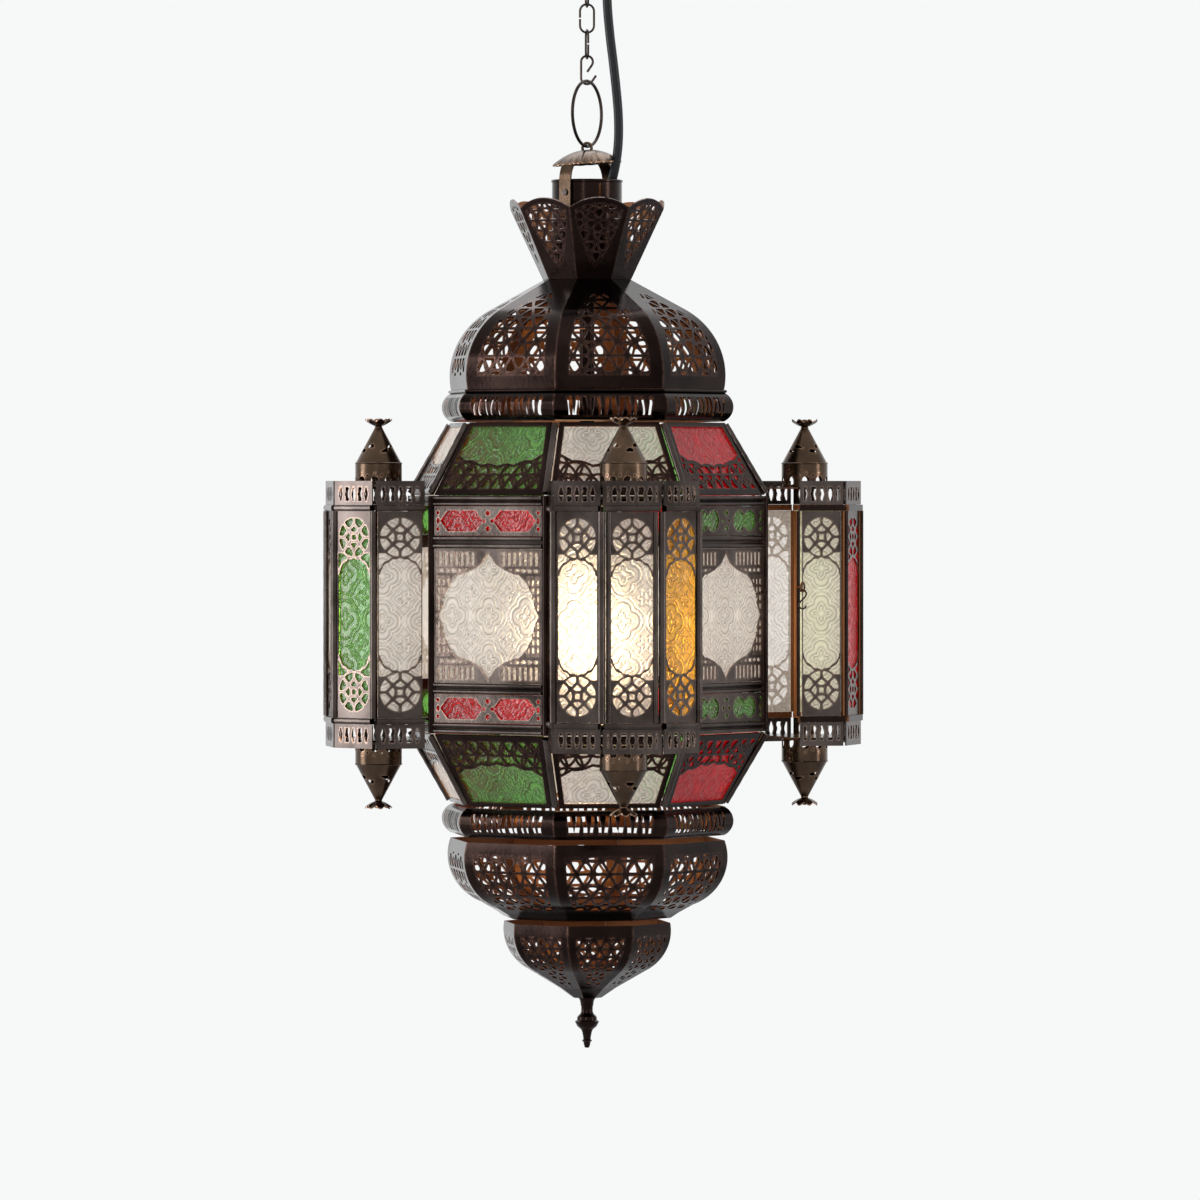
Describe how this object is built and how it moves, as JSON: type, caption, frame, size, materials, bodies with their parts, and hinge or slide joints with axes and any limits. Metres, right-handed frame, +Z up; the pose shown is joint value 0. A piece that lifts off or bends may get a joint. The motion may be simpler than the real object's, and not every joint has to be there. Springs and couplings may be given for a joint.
{
  "type": "hanging lantern",
  "caption": "Hanging electric lantern of pierced bronze sheet and pressed glass: octagonal body with turret bays, one of them a door, on a short chain under a ceiling rose.",
  "frame": {"origin": "on the ceiling, at the middle of the bracket's top face", "axes": "+Z up along the chain and the lantern's axis; the lantern hangs on -Z; the door is on +X; the bracket bar runs along X"},
  "size_m": [0.3627, 0.3512, 0.809],
  "materials": {
    "bronze": "dark bronze patina, satin, rubbed bright on the edges",
    "worn_bronze": "bronze patina, rubbed",
    "worn_brass": "worn brass",
    "dark_steel": "blackened steel wire",
    "zinc_steel": "zinc plated",
    "black_plastic": "moulded",
    "holder_plastic": "moulded",
    "cable_sheath": "smooth sheath",
    "clear_glass": "pressed relief",
    "green_glass": "pressed relief",
    "red_glass": "pressed relief",
    "amber_glass": "pressed relief",
    "bulb_glass": "smooth, lit from inside"
  },
  "bodies": {
    "ceiling": {"ceiling_bracket": "zinc_steel", "ceiling_rose": "bronze", "ceiling_hook": "dark_steel", "hook_nut": "zinc_steel", "cord_grip": "black_plastic"},
    "chain_link_1": {"chain_link_1": "dark_steel"},
    "chain_link_2": {"chain_link_2": "dark_steel"},
    "chain_link_3": {"chain_link_3": "dark_steel"},
    "s_hook": {"s_hook": "dark_steel"},
    "hanging_ring": {"hanging_ring": "bronze"},
    "lantern": {"supply_cable": "cable_sheath", "split_pin": "worn_brass", "rosette_cap": "bronze", "strap_handle": "bronze", "strap_rivets": "worn_brass", "cable_collar": "bronze", "neck_plate": "bronze", "crown_panels": "bronze", "dome_petals": "bronze", "upper_bead_ring": "bronze", "slope_frames": "bronze", "slope_ribs": "bronze", "slope_glass_clear": "clear_glass", "slope_glass_green": "green_glass", "slope_glass_red": "red_glass", "corner_posts": "bronze", "wall_rails": "bronze", "strip_panels": "bronze", "strip_glass_red": "red_glass", "strip_glass_green": "green_glass", "panel_lattices": "bronze", "panel_glass": "clear_glass", "bay_frames": "bronze", "bay_fretwork": "bronze", "bay_glass_clear": "clear_glass", "bay_glass_green": "green_glass", "bay_glass_amber": "amber_glass", "bay_friezes": "bronze", "bay_plates": "bronze", "bay_cones": "bronze", "bay_flowers": "worn_bronze", "hinge_pins": "dark_steel", "lower_bead_ring": "bronze", "lower_bowl": "bronze", "tail_bowl": "bronze", "finial": "bronze", "holder_nipple": "worn_brass", "lamp_holder": "holder_plastic", "bulb_cap": "worn_brass", "bulb_glass": "bulb_glass"},
    "door": {"door_frame": "bronze", "door_fretwork": "bronze", "door_glass_clear": "clear_glass", "door_glass_green": "green_glass", "door_glass_red": "red_glass", "door_friezes": "bronze", "door_plates": "bronze", "door_cones": "bronze", "door_flowers": "worn_bronze"},
    "latch": {"latch_hook": "dark_steel"}
  },
  "joints": [
    {"name": "hook_to_link_1", "type": "hinge", "parent": "ceiling", "child": "chain_link_1", "pos_m": [0, 0, -0.095], "axis": [1, 0, 0], "range_deg": [-15, 15], "deforming": ["supply_cable"]},
    {"name": "link_1_to_link_2", "type": "hinge", "parent": "chain_link_1", "child": "chain_link_2", "pos_m": [0, 0, -0.11155], "axis": [0, 1, 0], "range_deg": [-12, 12], "deforming": ["supply_cable"]},
    {"name": "link_2_to_link_3", "type": "hinge", "parent": "chain_link_2", "child": "chain_link_3", "pos_m": [0, 0, -0.12885], "axis": [1, 0, 0], "range_deg": [-12, 12], "deforming": ["supply_cable"]},
    {"name": "link_3_to_s_hook", "type": "hinge", "parent": "chain_link_3", "child": "s_hook", "pos_m": [0, 0, -0.14615], "axis": [0, 1, 0], "range_deg": [-12, 12], "deforming": ["supply_cable"]},
    {"name": "s_hook_to_ring", "type": "hinge", "parent": "s_hook", "child": "hanging_ring", "pos_m": [0, 0, -0.1634], "axis": [1, 0, 0], "range_deg": [-12, 12], "deforming": ["supply_cable"]},
    {"name": "ring_to_lantern", "type": "hinge", "parent": "hanging_ring", "child": "lantern", "pos_m": [0, 0, -0.2051], "axis": [0.5878, 0.809, 0], "range_deg": [-15, 15], "deforming": ["supply_cable"]},
    {"name": "door_hinge", "type": "hinge", "parent": "lantern", "child": "door", "pos_m": [0.1179, 0.05153, 0], "axis": [0, 0, 1], "range_deg": [-10, 100]},
    {"name": "latch_swing", "type": "hinge", "parent": "door", "child": "latch", "pos_m": [0.13702, -0.05117, -0.5032], "axis": [-0.1736, 0.9848, 0], "range_deg": [-45, 45]}
  ]
}
